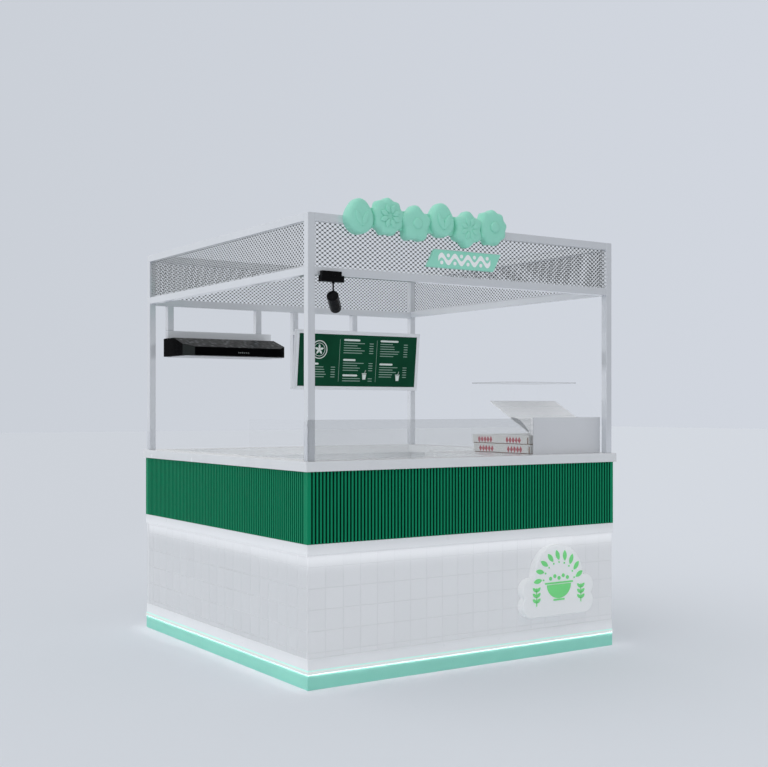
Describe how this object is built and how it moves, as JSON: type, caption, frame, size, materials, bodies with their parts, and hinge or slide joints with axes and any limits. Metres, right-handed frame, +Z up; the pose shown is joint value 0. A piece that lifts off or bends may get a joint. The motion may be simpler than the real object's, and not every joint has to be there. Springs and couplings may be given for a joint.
{
  "type": "street kiosk",
  "caption": "Square street kiosk with tiled and fluted counter walls, an open post frame with a mesh header, an extractor hood, a menu board and a display case.",
  "frame": {"origin": "middle of the footprint at floor level", "axes": "+Z up, -Y towards the serving front, +X to the right seen from the front"},
  "size_m": [2.04, 2.08, 2.405],
  "materials": {
    "mint_paint": "satin mint paint",
    "light_strip": "lit white light strip",
    "white_trim": "satin white paint",
    "wall_board": "white faced board",
    "white_tile": "glazed white tiles with fine joints",
    "green_flutes": "green fluted panel",
    "counter_stone": "polished white slab",
    "frame_paint": "glossy pale grey paint",
    "mesh_steel": "pale grey painted diamond mesh",
    "clear_glass": "clear glass",
    "case_panel": "satin pale grey panel",
    "food_card": "white card with a plain red band",
    "hood_black": "glossy black enamel",
    "filter_steel": "brushed filter plate",
    "menu_frame": "satin pale grey paint",
    "menu_green": "dark green printed panel",
    "lamp_black": "satin black paint",
    "sign_mint": "puffed mint sign",
    "sign_white": "white sign board"
  },
  "bodies": {
    "root": {"back_flutes": "green_flutes", "back_hangers": "frame_paint", "back_left_post": "frame_paint", "back_mesh": "mesh_steel", "back_right_post": "frame_paint", "back_tiles": "white_tile", "back_wall": "wall_board", "base_trim": "white_trim", "case_deck": "case_panel", "case_front": "case_panel", "case_sides": "clear_glass", "case_top": "clear_glass", "counter_top": "counter_stone", "front_flutes": "green_flutes", "front_glass": "clear_glass", "front_left_post": "frame_paint", "front_mesh": "mesh_steel", "front_plate": "sign_mint", "front_right_post": "frame_paint", "front_sign": "sign_mint", "front_tiles": "white_tile", "front_wall": "wall_board", "hood_body": "hood_black", "hood_filter": "filter_steel", "hood_rail": "frame_paint", "left_flutes": "green_flutes", "left_glass": "clear_glass", "left_mesh": "mesh_steel", "left_tiles": "white_tile", "left_wall": "wall_board", "lower_food_box": "food_card", "lower_light_strip": "light_strip", "lower_rails": "frame_paint", "menu_frame": "menu_frame", "menu_panel": "menu_green", "plinth": "mint_paint", "right_flutes": "green_flutes", "right_mesh": "mesh_steel", "right_tiles": "white_tile", "right_wall": "wall_board", "spot_adapter": "lamp_black", "spot_lamp": "lamp_black", "tile_sign": "sign_white", "top_rails": "frame_paint", "upper_food_box": "food_card", "upper_light_strip": "light_strip", "upper_trim": "white_trim"}
  },
  "joints": []
}
